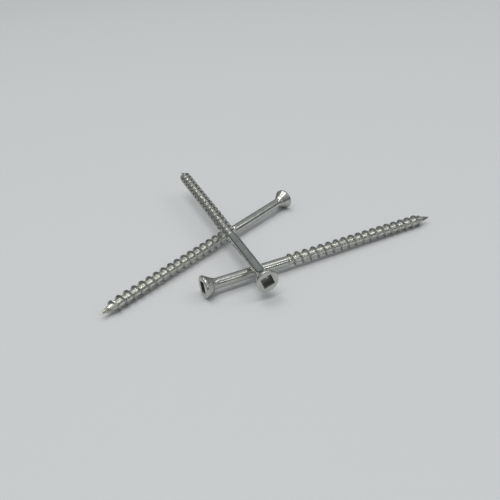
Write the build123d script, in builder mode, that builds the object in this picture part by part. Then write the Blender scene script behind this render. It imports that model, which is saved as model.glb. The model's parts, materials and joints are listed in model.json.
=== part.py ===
from build123d import *

import os
from math import atan, cos, degrees, radians, sin, tan

# Three loose wood screws of one kind: two lie on the floor and the third lies across them.
# Millimetres, +Z up, floor at Z = 0, and the group's box is centred on the Z axis.

# One screw: a trim-head wood screw with a square recess, a half-threaded shank and a notched point.
# Stations along it are measured from the flat of the head.
screw_length = 76.2
shank_diameter = 2.95
root_diameter = 2.5
thread_diameter = 3.84
thread_pitch = 2.6
thread_start = 25.4
thread_fade = 1.0
crest_flat = 0.1
flank_angle = 30.0
root_step = 0.35

head_diameter = 6.3
rim_height = 0.75
rim_round = 0.32
rim_edge_round = 0.15
head_angle = 32.0
neck_round = 3.0

recess_width = 3.12
recess_depth = 2.1
recess_taper = 3.5
recess_corner = 0.22
recess_lip = 0.1
pit_radius = 1.0
pit_depth = 0.4

# The point: the root cone, and the steeper cone that the crests stay inside
point_length = 4.7
point_flat = 0.12
cone_waist_radius = 1.0
cone_waist_length = 3.0
crest_full_length = 5.8
crest_mid_radius = 1.65
crest_mid_length = 3.5
crest_low_radius = 0.7
crest_low_length = 3.2
ridge_inner_radius = 0.8
ridge_first = 1.4

# The cutting notch in the point: one wall through the axis and a floor that climbs out of the thread
notch_web = 0.14
notch_straight = 2.2
notch_length = 5.2
notch_reach = 3.0

# How the three lie: each head's place in plan, and the plan direction from its head to its point
right_head = (-21.37, -30.07)
right_heading = 26.084
left_head = (2.65, 20.38)
left_heading = 229.313
top_head = (-4.06, -33.01)
top_heading = 112.396
clearance = 0.06
bearing_crest = 71.0

# Roll about each axis, measured from level: the thread's, and the recess's
right_roll = 256.0
left_roll = 70.0
top_roll = 288.0
right_recess_turn = 17.0
left_recess_turn = 31.0
top_recess_turn = 19.5
right_notch_turn = 20.0
left_notch_turn = 182.0
top_notch_turn = 300.0

shank_radius = shank_diameter / 2
root_radius = root_diameter / 2
thread_radius = thread_diameter / 2
head_radius = head_diameter / 2
cone_end = rim_height + (head_radius - shank_radius) / tan(radians(head_angle))


def make_ridge():
    """The thread alone: a sharp tooth wound round the axis, trimmed where it fades in and at the point."""
    tooth_half = crest_flat / 2 + (thread_radius - ridge_inner_radius) * tan(radians(flank_angle))
    first = ridge_first - screw_length
    margin = crest_flat
    with BuildPart() as ridge:
        with BuildLine():
            spiral = Helix(thread_pitch, -thread_start - first, root_radius, center=(0, 0, first))
        with BuildSketch(Plane.XZ):
            with BuildLine():
                Polyline(
                    (ridge_inner_radius, first - tooth_half),
                    (thread_radius, first - crest_flat / 2),
                    (thread_radius, first + crest_flat / 2),
                    (ridge_inner_radius, first + tooth_half),
                    close=True,
                )
            make_face()
        sweep(path=spiral, is_frenet=True)
        with BuildSketch(Plane.XZ):
            with BuildLine():
                Polyline(
                    (0, -thread_start),
                    (root_radius, -thread_start),
                    (thread_radius + margin, -thread_start - thread_fade),
                    (thread_radius + margin, crest_full_length - screw_length),
                    (crest_mid_radius, crest_mid_length - screw_length),
                    (crest_low_radius, crest_low_length - screw_length),
                    (0, crest_low_length - screw_length),
                    close=True,
                )
            make_face()
        revolve(axis=Axis.Z, mode=Mode.INTERSECT)
    return ridge.part


def make_screw(ridge, recess_turn, notch_turn):
    """One screw on the Z axis: the flat of its head at Z = 0 and its point straight below."""
    with BuildPart() as screw:
        with BuildSketch(Plane.XZ) as outline:
            with BuildLine():
                Polyline(
                    (0, 0),
                    (head_radius, 0),
                    (head_radius, -rim_height),
                    (shank_radius, -cone_end),
                    (shank_radius, -thread_start),
                    (root_radius, -thread_start - root_step),
                    (root_radius, point_length - screw_length),
                    (cone_waist_radius, cone_waist_length - screw_length),
                    (point_flat, -screw_length),
                    (0, -screw_length),
                    close=True,
                )
            make_face()
            rim_corners = outline.vertices().group_by(Axis.X)[-1].sort_by(Axis.Y)
            fillet(rim_corners[-1], rim_round)
            rim_corners = outline.vertices().group_by(Axis.X)[-1].sort_by(Axis.Y)
            fillet(rim_corners[0], rim_edge_round)
            neck = outline.vertices().sort_by_distance((shank_radius, -cone_end))[0]
            fillet(neck, neck_round)
        revolve(axis=Axis.Z)
        add(ridge)
        with BuildSketch(Plane.XY):
            RectangleRounded(recess_width, recess_width, recess_corner, rotation=recess_turn)
        extrude(amount=-recess_depth, taper=recess_taper, mode=Mode.SUBTRACT)
        mouth = screw.faces().sort_by(Axis.Z)[-1].inner_wires()[0].edges()
        chamfer(mouth, recess_lip)
        with Locations((0, 0, -recess_depth - pit_depth / 2)):
            Cone(point_flat, pit_radius, pit_depth, mode=Mode.SUBTRACT)
        with BuildSketch(Plane.XZ.rotated((0, 0, notch_turn))):
            with BuildLine():
                Polyline(
                    (notch_web, -screw_length - notch_straight),
                    (notch_web, notch_straight - screw_length),
                    (notch_reach, notch_length - screw_length),
                    (notch_reach, -screw_length - notch_straight),
                    close=True,
                )
            make_face()
        extrude(amount=notch_reach, mode=Mode.SUBTRACT)
    return screw.part


def heading_vector(heading):
    """The level direction from a screw's head to its point."""
    return Vector(cos(radians(heading)), sin(radians(heading)), 0)


def lay_down(head, height, heading, dip, roll):
    """The plane a screw is put on: its head's centre, its axis dipping by dip, rolled about it by roll."""
    ahead = heading_vector(heading)
    level = Vector(ahead.Y, -ahead.X, 0)
    upward = Vector(0, 0, 1) * sin(radians(dip)) - ahead * cos(radians(dip))
    rolled = level.rotate(Axis((0, 0, 0), upward), roll)
    return Plane(origin=(head[0], head[1], height), x_dir=rolled, z_dir=upward)


def crossing(head, heading, other_head, other_heading):
    """How far along the first screw, in plan, the second one crosses it."""
    ahead = heading_vector(heading)
    other = heading_vector(other_heading)
    gap = Vector(other_head[0] - head[0], other_head[1] - head[1], 0)
    return gap.cross(other).Z / ahead.cross(other).Z


# A screw on the floor rests on the edge of its rim and on a crest near its point.
floor_dip = degrees(atan((head_radius - thread_radius) / (bearing_crest - rim_height)))
floor_height = rim_height * sin(radians(floor_dip)) + head_radius * cos(radians(floor_dip))

# The top screw rests by its shank on the right screw's shank, and by its thread on the left one's.
top_at_right = crossing(top_head, top_heading, right_head, right_heading)
right_at_top = crossing(right_head, right_heading, top_head, top_heading)
top_at_left = crossing(top_head, top_heading, left_head, left_heading)
left_at_top = crossing(left_head, left_heading, top_head, top_heading)
height_at_right = floor_height - right_at_top * tan(radians(floor_dip)) + shank_diameter + clearance
height_at_left = floor_height - left_at_top * tan(radians(floor_dip)) + thread_diameter + clearance
top_slope = (height_at_left - height_at_right) / (top_at_left - top_at_right)
top_height = height_at_right - top_at_right * top_slope
top_dip = -degrees(atan(top_slope))

right_place = lay_down(right_head, floor_height, right_heading, floor_dip, right_roll)
left_place = lay_down(left_head, floor_height, left_heading, floor_dip, left_roll)
top_place = lay_down(top_head, top_height, top_heading, top_dip, top_roll)

thread = make_ridge()
right_body = make_screw(thread, right_recess_turn - right_roll, right_notch_turn - right_roll)
left_body = make_screw(thread, left_recess_turn - left_roll, left_notch_turn - left_roll)
top_body = make_screw(thread, top_recess_turn - top_roll, top_notch_turn - top_roll)

with BuildPart() as right_screw:
    with Locations(right_place):
        add(right_body)
right_screw.part.label = "right_screw"

with BuildPart() as left_screw:
    with Locations(left_place):
        add(left_body)
left_screw.part.label = "left_screw"

with BuildPart() as top_screw:
    with Locations(top_place):
        add(top_body)
top_screw.part.label = "top_screw"

os.makedirs("parts", exist_ok=True)
export_step(right_screw.part, "parts/right_screw.step")
export_step(left_screw.part, "parts/left_screw.step")
export_step(top_screw.part, "parts/top_screw.step")
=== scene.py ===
import json
import math

import bpy
from mathutils import Matrix, Vector

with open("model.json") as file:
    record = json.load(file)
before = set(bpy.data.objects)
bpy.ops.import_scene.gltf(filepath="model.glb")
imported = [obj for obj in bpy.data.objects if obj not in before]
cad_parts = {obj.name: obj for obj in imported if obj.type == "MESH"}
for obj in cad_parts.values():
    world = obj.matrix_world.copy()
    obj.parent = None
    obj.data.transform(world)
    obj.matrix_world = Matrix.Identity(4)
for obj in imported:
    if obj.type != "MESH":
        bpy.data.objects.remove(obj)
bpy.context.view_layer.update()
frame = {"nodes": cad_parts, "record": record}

MM = 0.001

# ---------------------------------------------------------------- camera
# A close camera, about 177 mm from the middle of the group, looking down at 30.5 degrees.
CAMERA_DISTANCE = 176.74 * MM
CAMERA_HEIGHT_ANGLE = math.radians(30.54)
CAMERA_ROLL = math.radians(-3.58)
CAMERA_TARGET = Vector((-2.42, -6.71, 0.0)) * MM
CAMERA_LENS = 42.35
CAMERA_SENSOR = 36.0
CAMERA_SHIFT = (-0.0444, -0.0034)
CAMERA_CLIP = (0.005, 20.0)


def add_camera():
    forward = Vector((0.0, math.cos(CAMERA_HEIGHT_ANGLE), -math.sin(CAMERA_HEIGHT_ANGLE)))
    level = Vector((1.0, 0.0, 0.0))
    upright = level.cross(forward)
    right = level * math.cos(CAMERA_ROLL) + upright * math.sin(CAMERA_ROLL)
    up = upright * math.cos(CAMERA_ROLL) - level * math.sin(CAMERA_ROLL)
    data = bpy.data.cameras.new("camera")
    data.sensor_width = CAMERA_SENSOR
    data.lens = CAMERA_LENS
    data.shift_x, data.shift_y = CAMERA_SHIFT
    data.clip_start, data.clip_end = CAMERA_CLIP
    data.dof.use_dof = False
    camera = bpy.data.objects.new("camera", data)
    bpy.context.scene.collection.objects.link(camera)
    place = Matrix((right, up, -forward)).transposed().to_4x4()
    place.translation = CAMERA_TARGET - forward * CAMERA_DISTANCE
    camera.matrix_world = place
    bpy.context.scene.camera = camera


# ---------------------------------------------------------------- node helpers
# Sockets of the Mix node when it mixes colours.
MIX_FACTOR, MIX_FIRST, MIX_SECOND, MIX_RESULT = 0, 6, 7, 2


class Tree:
    """Small helpers over the nodes of one material or world."""

    def __init__(self, owner):
        owner.use_nodes = True
        self.nodes, self.links = owner.node_tree.nodes, owner.node_tree.links

    def put(self, socket, value):
        if isinstance(value, bpy.types.NodeSocket):
            self.links.new(value, socket)
        else:
            socket.default_value = value

    def maths(self, operation, first, second):
        node = self.nodes.new("ShaderNodeMath")
        node.operation = operation
        self.put(node.inputs[0], first)
        self.put(node.inputs[1], second)
        return node.outputs[0]

    def vector(self, operation, first, second):
        node = self.nodes.new("ShaderNodeVectorMath")
        node.operation = operation
        self.put(node.inputs[0], first)
        self.put(node.inputs[1], second)
        return node.outputs["Value"] if operation == "DOT_PRODUCT" else node.outputs["Vector"]

    def scaled(self, vector, scale):
        node = self.nodes.new("ShaderNodeVectorMath")
        node.operation = "SCALE"
        self.put(node.inputs[0], vector)
        self.put(node.inputs["Scale"], scale)
        return node.outputs["Vector"]

    def length(self, vector):
        node = self.nodes.new("ShaderNodeVectorMath")
        node.operation = "LENGTH"
        self.put(node.inputs[0], vector)
        return node.outputs["Value"]

    def span(self, value, low, high, out_low=0.0, out_high=1.0):
        """Smooth step from out_low to out_high as value goes from low to high."""
        node = self.nodes.new("ShaderNodeMapRange")
        node.interpolation_type = "SMOOTHSTEP"
        self.put(node.inputs["Value"], value)
        self.put(node.inputs["From Min"], low)
        self.put(node.inputs["From Max"], high)
        self.put(node.inputs["To Min"], out_low)
        self.put(node.inputs["To Max"], out_high)
        return node.outputs["Result"]

    def noise(self, vector, scale, detail, roughness):
        node = self.nodes.new("ShaderNodeTexNoise")
        self.put(node.inputs["Vector"], vector)
        self.put(node.inputs["Scale"], scale)
        self.put(node.inputs["Detail"], detail)
        self.put(node.inputs["Roughness"], roughness)
        return node.outputs["Fac"]

    def mix(self, factor, first, second):
        node = self.nodes.new("ShaderNodeMix")
        node.data_type = "RGBA"
        self.put(node.inputs[MIX_FACTOR], factor)
        self.put(node.inputs[MIX_FIRST], first)
        self.put(node.inputs[MIX_SECOND], second)
        return node.outputs[MIX_RESULT]

    def bump(self, height, distance, strength, normal=None):
        node = self.nodes.new("ShaderNodeBump")
        self.put(node.inputs["Height"], height)
        self.put(node.inputs["Distance"], distance)
        self.put(node.inputs["Strength"], strength)
        if normal is not None:
            self.links.new(normal, node.inputs["Normal"])
        return node.outputs["Normal"]


# ---------------------------------------------------------------- floor and light
FLOOR_HALF = 1.5
FLOOR_COLOUR = (0.733, 0.742, 0.746, 1.0)
FLOOR_ROUGHNESS = 0.6
FLOOR_SPECULAR = 0.3

# Each light: its direction from the middle of the group, its width and length in metres, its brightness
# to the eye, and its turn about its own axis. The strip lies along the left screw.
LIGHT_DISTANCE = 1.6
LIGHTS = {
    "strip": ((-0.045, -0.18, 0.98), (1.24, 0.126), 11.5, math.radians(49.3)),
    "key": ((-0.24, 0.26, 0.93), (0.73, 0.73), 2.7, 0.0),
    "window": ((0.668, -0.570, 0.478), (0.16, 0.16), 6.5, 0.0),
    "side": ((0.63, 0.06, 0.79), (0.33, 0.96), 2.0, 0.0),
}

# The room that the steel reflects, by the sine of the height angle: a dark band just over the horizon,
# greyer walls and a lighter ceiling. The camera itself sees the plain backdrop.
ROOM = (
    (0.00, (0.005, 0.005, 0.005)),
    (0.14, (0.008, 0.008, 0.008)),
    (0.24, (0.25, 0.28, 0.29)),
    (0.55, (0.30, 0.335, 0.34)),
    (1.00, (0.50, 0.51, 0.50)),
)
BACKDROP = (0.62, 0.64, 0.65, 1.0)


def add_floor():
    half = FLOOR_HALF
    mesh = bpy.data.meshes.new("floor")
    corners = [(-half, -half, 0), (half, -half, 0), (half, half, 0), (-half, half, 0)]
    mesh.from_pydata(corners, [], [(0, 1, 2, 3)])
    floor = bpy.data.objects.new("floor", mesh)
    bpy.context.scene.collection.objects.link(floor)
    material = bpy.data.materials.new("floor")
    material.use_nodes = True
    shader = material.node_tree.nodes["Principled BSDF"]
    shader.inputs["Base Color"].default_value = FLOOR_COLOUR
    shader.inputs["Roughness"].default_value = FLOOR_ROUGHNESS
    shader.inputs["Specular IOR Level"].default_value = FLOOR_SPECULAR
    mesh.materials.append(material)


def add_light(name, direction, size, radiance, turn):
    """A softbox that faces the middle of the group."""
    data = bpy.data.lights.new(name, "AREA")
    data.shape = "RECTANGLE"
    data.size, data.size_y = size
    data.energy = radiance * math.pi * size[0] * size[1]
    light = bpy.data.objects.new(name, data)
    bpy.context.scene.collection.objects.link(light)
    light.location = Vector(direction).normalized() * LIGHT_DISTANCE
    aim = (-light.location).to_track_quat("-Z", "Y").to_matrix()
    light.rotation_euler = (aim @ Matrix.Rotation(turn, 3, "Z")).to_euler()


def add_world():
    world = bpy.data.worlds.new("studio")
    tree = Tree(world)
    where = tree.nodes.new("ShaderNodeTexCoord").outputs["Generated"]
    split = tree.nodes.new("ShaderNodeSeparateXYZ")
    tree.put(split.inputs[0], where)
    ramp = tree.nodes.new("ShaderNodeValToRGB")
    ramp.color_ramp.interpolation = "EASE"
    stops = ramp.color_ramp.elements
    stops[0].position, stops[0].color = ROOM[0][0], ROOM[0][1] + (1.0,)
    stops[1].position, stops[1].color = ROOM[-1][0], ROOM[-1][1] + (1.0,)
    for height, colour in ROOM[1:-1]:
        stops.new(height).color = colour + (1.0,)
    tree.put(ramp.inputs[0], split.outputs["Z"])
    seen = tree.nodes.new("ShaderNodeLightPath").outputs["Is Camera Ray"]
    tree.put(tree.nodes["Background"].inputs["Color"], tree.mix(seen, ramp.outputs[0], BACKDROP))
    bpy.context.scene.world = world


# ---------------------------------------------------------------- steel
# Where things are on a screw: millimetres from its axis, and along it from its head face.
ROOT_RADIUS = 1.30
RECESS_RADIUS = 2.25
RECESS_DEPTH = 2.5
HEAD_LENGTH = 3.4
SHANK_LENGTH = 25.2

# Colours of the metal. The paler root colour is a painted highlight; the darker flank and recess colours are
# painted shade.
STEEL_DULL = (0.50, 0.51, 0.475, 1.0)
STEEL_BRIGHT = (0.575, 0.58, 0.545, 1.0)
# painted highlight: a paler steel for the thread roots, standing in for the window's highlight there
ROOT_HIGHLIGHT = (0.70, 0.70, 0.65, 1.0)
ROOT_DIRT = (0.40, 0.39, 0.28, 1.0)
# painted shade: a darker steel for the thread flanks
FLANK_SHADE = (0.45, 0.45, 0.425, 1.0)
# painted shade: a darker steel for the inside of the head recess
RECESS_SHADE = (0.42, 0.42, 0.39, 1.0)

# Noise scales per metre: shade, pits in the thread, fine grain, and lines left by drawing the wire
CLOUD_SCALE = 420.0
SPECK_SCALE = 1500.0
GRAIN_SCALE = 3400.0
LINE_SCALE = 5200.0
LINE_STRETCH = 0.02

# How deep the relief is
LINE_DEPTH = 0.004 * MM
PIT_DEPTH = 0.090 * MM
GRAIN_DEPTH = 0.006 * MM


class Zones:
    """Where each point of one screw is: its place from the head face, and masks of the screw's parts."""

    def __init__(self, tree, face):
        where = tree.nodes.new("ShaderNodeTexCoord").outputs["Object"]
        self.place = tree.vector("SUBTRACT", where, face["pos_m"])
        height = tree.vector("DOT_PRODUCT", self.place, face["axis"])
        self.axial = tree.scaled(face["axis"], height)
        self.radial = tree.vector("SUBTRACT", self.place, self.axial)
        self.along = tree.maths("MULTIPLY", height, -1.0 / MM)
        radius = tree.maths("MULTIPLY", tree.length(self.radial), 1.0 / MM)

        self.thread = tree.span(self.along, SHANK_LENGTH - 0.6, SHANK_LENGTH + 0.4)
        near_root = tree.span(radius, ROOT_RADIUS + 0.22, ROOT_RADIUS)
        self.root = tree.maths("MULTIPLY", self.thread, near_root)
        off_root = tree.span(radius, ROOT_RADIUS + 0.05, ROOT_RADIUS + 0.2)
        self.flank = tree.maths("MULTIPLY", self.thread, off_root)

        within = tree.span(radius, RECESS_RADIUS + 0.05, RECESS_RADIUS - 0.05)
        shallow = tree.span(self.along, RECESS_DEPTH + 0.4, RECESS_DEPTH)
        below_face = tree.span(self.along, 0.05, 0.5)
        self.recess = tree.maths("MULTIPLY", tree.maths("MULTIPLY", within, shallow), below_face)
        self.head = tree.span(self.along, HEAD_LENGTH + 1.0, HEAD_LENGTH)


def steel(name, face, shift):
    """Bright screw steel: drawn shank, rolled thread with dirt and a painted highlight in the roots, painted
    shade on the flanks and in the recess.
    """
    material = bpy.data.materials.new(name)
    tree = Tree(material)
    shader = tree.nodes["Principled BSDF"]
    zone = Zones(tree, face)

    moved = tree.vector("ADD", zone.place, shift)
    drawn = tree.vector("ADD", tree.vector("ADD", zone.radial, tree.scaled(zone.axial, LINE_STRETCH)), shift)
    cloud = tree.noise(moved, CLOUD_SCALE, 4.0, 0.6)
    specks = tree.noise(moved, SPECK_SCALE, 4.0, 0.7)
    grain = tree.noise(moved, GRAIN_SCALE, 3.0, 0.65)
    lines = tree.noise(drawn, LINE_SCALE, 3.0, 0.6)

    # colour
    clean = tree.mix(tree.span(cloud, 0.35, 0.68), STEEL_DULL, STEEL_BRIGHT)
    # painted highlight: the roots are mixed most of the way towards the paler root colour
    rooted = tree.mix(tree.maths("MULTIPLY", zone.root, 0.7), clean, ROOT_HIGHLIGHT)
    dirt = tree.maths("MULTIPLY", zone.root, tree.span(specks, 0.42, 0.64))
    # yellowish dirt in speckles over the roots, laid on top of the painted highlight
    highlight_and_dirt = tree.mix(tree.maths("MULTIPLY", dirt, 0.6), rooted, ROOT_DIRT)
    # painted shade: the thread flanks are mixed towards the darker flank colour
    flanked = tree.mix(tree.maths("MULTIPLY", zone.flank, 0.8), highlight_and_dirt, FLANK_SHADE)
    # painted shade: the inside of the recess gets the darker recess colour
    tree.put(shader.inputs["Base Color"], tree.mix(zone.recess, flanked, RECESS_SHADE))
    shader.inputs["Metallic"].default_value = 1.0

    # roughness, a little more in the roots, on the head and in the recess
    plain = tree.span(cloud, 0.30, 0.70, 0.13, 0.21)
    in_root = tree.maths("MULTIPLY", zone.root, tree.span(specks, 0.35, 0.65, 0.0, 0.09))
    on_head = tree.maths("MULTIPLY", zone.head, 0.07)
    in_recess = tree.maths("MULTIPLY", zone.recess, 0.06)
    rough = tree.maths("ADD", tree.maths("ADD", plain, in_root), tree.maths("ADD", on_head, in_recess))
    tree.put(shader.inputs["Roughness"], rough)

    # relief
    drawn_normal = tree.bump(lines, LINE_DEPTH, 0.7)
    pitted_normal = tree.bump(specks, PIT_DEPTH, tree.maths("MULTIPLY", zone.thread, 0.9), drawn_normal)
    tree.put(shader.inputs["Normal"], tree.bump(grain, GRAIN_DEPTH, 0.6, pitted_normal))
    return material


def dress():
    """Give each screw its steel, with the textures shifted so that no two are marked alike."""
    mounts = {mount["name"]: mount for mount in frame["record"]["mounts"]}
    for number, node in enumerate(frame["nodes"].values()):
        face = mounts[node.name.replace("screw", "recess")]
        shift = (0.013 * number, 0.007 * number, 0.0)
        node.data.materials.clear()
        node.data.materials.append(steel(node.name + "_steel", face, shift))


add_camera()
add_floor()
add_world()
for light_name, (direction, size, radiance, turn) in LIGHTS.items():
    add_light(light_name, direction, size, radiance, turn)
bpy.context.scene.view_settings.view_transform = "Standard"
dress()
